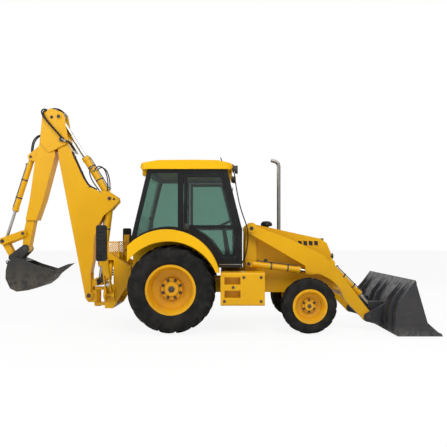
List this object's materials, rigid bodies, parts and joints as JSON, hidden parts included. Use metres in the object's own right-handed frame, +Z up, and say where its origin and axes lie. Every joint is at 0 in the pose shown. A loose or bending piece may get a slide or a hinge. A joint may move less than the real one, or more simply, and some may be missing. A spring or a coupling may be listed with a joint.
{
  "type": "backhoe loader",
  "caption": "Wheeled backhoe loader with front loader bucket, enclosed cab and folded rear digging arm on a swing post.",
  "frame": {"origin": "on the ground below the middle of the machine's box", "axes": "+X forward towards the loader bucket, +Y to the machine's left, +Z up"},
  "size_m": [6.991, 2.29, 3.639],
  "materials": {
    "yellow_paint": "satin enamel",
    "rim_paint": "satin enamel",
    "black_paint": "satin black",
    "charcoal_paint": "worn",
    "tyre_rubber": "matt",
    "pad_rubber": "matt",
    "chrome_rod": "polished",
    "tinted_glass": "green tint",
    "seat_fabric": "woven",
    "black_plastic": "grained",
    "dark_casting": "painted casting",
    "stack_steel": "heat stained"
  },
  "bodies": {
    "chassis": {"main_frame": "yellow_paint", "rear_frame": "yellow_paint", "engine_block": "dark_casting", "rear_axle": "dark_casting", "front_axle": "dark_casting", "hood": "yellow_paint", "grille": "black_paint", "exhaust_stack": "stack_steel", "pre_cleaner": "black_paint", "fenders": "yellow_paint", "cab_frame": "black_paint", "cab_roof": "yellow_paint", "cab_floor": "black_paint", "cab_glass": "tinted_glass", "seat": "seat_fabric", "cab_controls": "black_plastic", "step_boxes": "yellow_paint"},
    "loader_arms": {"loader_arms": "yellow_paint"},
    "loader_bucket": {"loader_bucket": "charcoal_paint"},
    "swing_post": {"swing_post": "yellow_paint"},
    "boom": {"boom": "yellow_paint"},
    "dipper": {"dipper": "yellow_paint"},
    "hoe_bucket": {"hoe_bucket": "charcoal_paint"},
    "idler_link": {"idler_link": "yellow_paint"},
    "bucket_link": {"bucket_link": "yellow_paint"},
    "lift_barrels": {"lift_barrels": "yellow_paint"},
    "lift_rods": {"lift_rods": "chrome_rod"},
    "tilt_barrels": {"tilt_barrels": "yellow_paint"},
    "tilt_rods": {"tilt_rods": "chrome_rod"},
    "boom_barrel": {"boom_barrel": "yellow_paint"},
    "boom_rod": {"boom_rod": "chrome_rod"},
    "dipper_barrel": {"dipper_barrel": "yellow_paint"},
    "dipper_rod": {"dipper_rod": "chrome_rod"},
    "bucket_barrel": {"bucket_barrel": "yellow_paint"},
    "bucket_rod": {"bucket_rod": "chrome_rod"},
    "rear_wheel_left": {"rear_tyre_left": "tyre_rubber", "rear_rim_left": "rim_paint"},
    "front_wheel_left": {"front_tyre_left": "tyre_rubber", "front_rim_left": "rim_paint"},
    "knuckle_left": {"knuckle_left": "dark_casting"},
    "door_left": {"door_left": "black_paint", "door_glass_left": "tinted_glass"},
    "stabilizer_left": {"stabilizer_leg_left": "yellow_paint", "stabilizer_pad_left": "pad_rubber"},
    "stabilizer_left_barrel": {"stabilizer_barrel_left": "yellow_paint"},
    "stabilizer_left_rod": {"stabilizer_rod_left": "chrome_rod"},
    "rear_wheel_right": {"rear_tyre_right": "tyre_rubber", "rear_rim_right": "rim_paint"},
    "front_wheel_right": {"front_tyre_right": "tyre_rubber", "front_rim_right": "rim_paint"},
    "knuckle_right": {"knuckle_right": "dark_casting"},
    "door_right": {"door_right": "black_paint", "door_glass_right": "tinted_glass"},
    "stabilizer_right": {"stabilizer_leg_right": "yellow_paint", "stabilizer_pad_right": "pad_rubber"},
    "stabilizer_right_barrel": {"stabilizer_barrel_right": "yellow_paint"},
    "stabilizer_right_rod": {"stabilizer_rod_right": "chrome_rod"}
  },
  "joints": [
    {"name": "rear_wheel_left_spin", "type": "hinge", "parent": "chassis", "child": "rear_wheel_left", "pos_m": [-0.5295, 0.81, 0.68], "axis": [0, 1, 0], "continuous": true},
    {"name": "steer_left", "type": "hinge", "parent": "chassis", "child": "knuckle_left", "pos_m": [1.5705, 0.6, 0.428], "axis": [0, 0, 1], "range_deg": [-35, 35]},
    {"name": "front_wheel_left_spin", "type": "hinge", "parent": "knuckle_left", "child": "front_wheel_left", "pos_m": [1.5705, 0.84, 0.428], "axis": [0, 1, 0], "continuous": true},
    {"name": "door_left_hinge", "type": "hinge", "parent": "chassis", "child": "door_left", "pos_m": [0.5065, 0.764, 1.5], "axis": [0, 0, -1], "range_deg": [0, 85]},
    {"name": "rear_wheel_right_spin", "type": "hinge", "parent": "chassis", "child": "rear_wheel_right", "pos_m": [-0.5295, -0.81, 0.68], "axis": [0, 1, 0], "continuous": true},
    {"name": "steer_right", "type": "hinge", "parent": "chassis", "child": "knuckle_right", "pos_m": [1.5705, -0.6, 0.428], "axis": [0, 0, 1], "range_deg": [-35, 35]},
    {"name": "front_wheel_right_spin", "type": "hinge", "parent": "knuckle_right", "child": "front_wheel_right", "pos_m": [1.5705, -0.84, 0.428], "axis": [0, 1, 0], "continuous": true},
    {"name": "door_right_hinge", "type": "hinge", "parent": "chassis", "child": "door_right", "pos_m": [0.5065, -0.764, 1.5], "axis": [0, 0, 1], "range_deg": [0, 85]},
    {"name": "loader_lift", "type": "hinge", "parent": "chassis", "child": "loader_arms", "pos_m": [0.7075, 0, 1.615], "axis": [0, -1, 0], "range_deg": [-2.2, 88]},
    {"name": "loader_bucket_tilt", "type": "hinge", "parent": "loader_arms", "child": "loader_bucket", "pos_m": [2.5485, 0, 0.215], "axis": [0, 1, 0], "range_deg": [-40, 130]},
    {"name": "lift_barrel_pivot", "type": "hinge", "parent": "chassis", "child": "lift_barrels", "pos_m": [0.6645, 0, 1.054], "axis": [0, -1, 0], "range_deg": [-2.73, 70.39]},
    {"name": "lift_rod_slide", "type": "slide", "parent": "lift_barrels", "child": "lift_rods", "axis": [0.9928, 0, -0.1196], "range_m": [-0.02176, 0.67525]},
    {"name": "tilt_barrel_pivot", "type": "hinge", "parent": "loader_arms", "child": "tilt_barrels", "pos_m": [1.9705, 0, 1.06], "axis": [0, 1, 0], "range_deg": [-3.15, 7.98]},
    {"name": "tilt_rod_slide", "type": "slide", "parent": "tilt_barrels", "child": "tilt_rods", "axis": [0.7045, 0, -0.7097], "range_m": [-0.09995, 0.3136]},
    {"name": "boom_swing", "type": "hinge", "parent": "chassis", "child": "swing_post", "pos_m": [-1.8695, 0, 0.5], "axis": [0, 0, 1], "range_deg": [-90, 90]},
    {"name": "boom_lift", "type": "hinge", "parent": "swing_post", "child": "boom", "pos_m": [-1.9945, 0, 0.5], "axis": [0, -1, 0], "range_deg": [0, 120]},
    {"name": "boom_rod_pivot", "type": "hinge", "parent": "swing_post", "child": "boom_rod", "pos_m": [-1.8295, 0, 0.735], "axis": [0, -1, 0], "range_deg": [-1, 121.59]},
    {"name": "boom_barrel_slide", "type": "slide", "parent": "boom_rod", "child": "boom_barrel", "axis": [0.128, 0, 0.9918], "range_m": [-0.005, 0.50205]},
    {"name": "dipper_swing", "type": "hinge", "parent": "boom", "child": "dipper", "pos_m": [-2.4375, 0, 3.115], "axis": [0, 1, 0], "range_deg": [0, 112]},
    {"name": "dipper_barrel_pivot", "type": "hinge", "parent": "boom", "child": "dipper_barrel", "pos_m": [-1.6495, 0, 2.13], "axis": [0, 1, 0], "range_deg": [-1, 7.8]},
    {"name": "dipper_rod_slide", "type": "slide", "parent": "dipper_barrel", "child": "dipper_rod", "axis": [-0.5239, 0, 0.8518], "range_m": [-0.63048, 0.005]},
    {"name": "hoe_bucket_curl", "type": "hinge", "parent": "dipper", "child": "hoe_bucket", "pos_m": [-3.0685, 0, 1.287], "axis": [0, 1, 0], "range_deg": [-4, 97]},
    {"name": "idler_pivot", "type": "hinge", "parent": "dipper", "child": "idler_link", "pos_m": [-3.0915, 0, 1.542], "axis": [0, 1, 0], "range_deg": [-3.48, 61.17]},
    {"name": "bucket_link_pivot", "type": "hinge", "parent": "idler_link", "child": "bucket_link", "pos_m": [-3.4375, 0, 1.412], "axis": [0, 1, 0], "range_deg": [-69.16, 3.81]},
    {"name": "bucket_barrel_pivot", "type": "hinge", "parent": "dipper", "child": "bucket_barrel", "pos_m": [-2.9795, 0, 2.834], "axis": [0, 1, 0], "range_deg": [-1.11, 3.74]},
    {"name": "bucket_rod_slide", "type": "slide", "parent": "bucket_barrel", "child": "bucket_rod", "axis": [-0.3066, 0, -0.9518], "range_m": [-0.37034, 0.02007]},
    {"name": "stabilizer_left_fold", "type": "hinge", "parent": "chassis", "child": "stabilizer_left", "pos_m": [-1.5645, 0.48, 0.555], "axis": [-1, 0, 0], "range_deg": [0, 95]},
    {"name": "stabilizer_left_barrel_pivot", "type": "hinge", "parent": "chassis", "child": "stabilizer_left_barrel", "pos_m": [-1.5645, 0.27, 1.15], "axis": [-1, 0, 0], "range_deg": [-1, 9.14]},
    {"name": "stabilizer_left_rod_slide", "type": "slide", "parent": "stabilizer_left_barrel", "child": "stabilizer_left_rod", "axis": [0, 0.5856, -0.8106], "range_m": [-0.005, 0.27861]},
    {"name": "stabilizer_right_fold", "type": "hinge", "parent": "chassis", "child": "stabilizer_right", "pos_m": [-1.5645, -0.48, 0.555], "axis": [1, 0, 0], "range_deg": [0, 95]},
    {"name": "stabilizer_right_barrel_pivot", "type": "hinge", "parent": "chassis", "child": "stabilizer_right_barrel", "pos_m": [-1.5645, -0.27, 1.15], "axis": [1, 0, 0], "range_deg": [-1, 9.14]},
    {"name": "stabilizer_right_rod_slide", "type": "slide", "parent": "stabilizer_right_barrel", "child": "stabilizer_right_rod", "axis": [0, -0.5856, -0.8106], "range_m": [-0.005, 0.27861]}
  ],
  "couplings": [
    {"joint": "steer_right", "follows": "steer_left", "ratio": 1},
    {"joint": "lift_barrel_pivot", "follows": "loader_lift", "ratio": 0.78847},
    {"joint": "lift_rod_slide", "follows": "loader_lift", "m_per_rad": 0.43639},
    {"joint": "tilt_barrel_pivot", "follows": "loader_bucket_tilt", "ratio": 0.053691},
    {"joint": "tilt_rod_slide", "follows": "loader_bucket_tilt", "m_per_rad": 0.13601},
    {"joint": "boom_rod_pivot", "follows": "boom_lift", "ratio": 1.005},
    {"joint": "boom_barrel_slide", "follows": "boom_lift", "m_per_rad": 0.23733},
    {"joint": "dipper_barrel_pivot", "follows": "dipper_swing", "ratio": 0.060688},
    {"joint": "dipper_rod_slide", "follows": "dipper_swing", "m_per_rad": -0.31998},
    {"joint": "idler_pivot", "follows": "hoe_bucket_curl", "ratio": 0.62031},
    {"joint": "bucket_link_pivot", "follows": "hoe_bucket_curl", "ratio": -0.70272},
    {"joint": "bucket_barrel_pivot", "follows": "hoe_bucket_curl", "ratio": 0.028209},
    {"joint": "bucket_rod_slide", "follows": "hoe_bucket_curl", "m_per_rad": -0.2158},
    {"joint": "stabilizer_left_barrel_pivot", "follows": "stabilizer_left_fold", "ratio": 0.085707},
    {"joint": "stabilizer_left_rod_slide", "follows": "stabilizer_left_fold", "m_per_rad": 0.16502},
    {"joint": "stabilizer_right_barrel_pivot", "follows": "stabilizer_right_fold", "ratio": 0.085707},
    {"joint": "stabilizer_right_rod_slide", "follows": "stabilizer_right_fold", "m_per_rad": 0.16502}
  ]
}
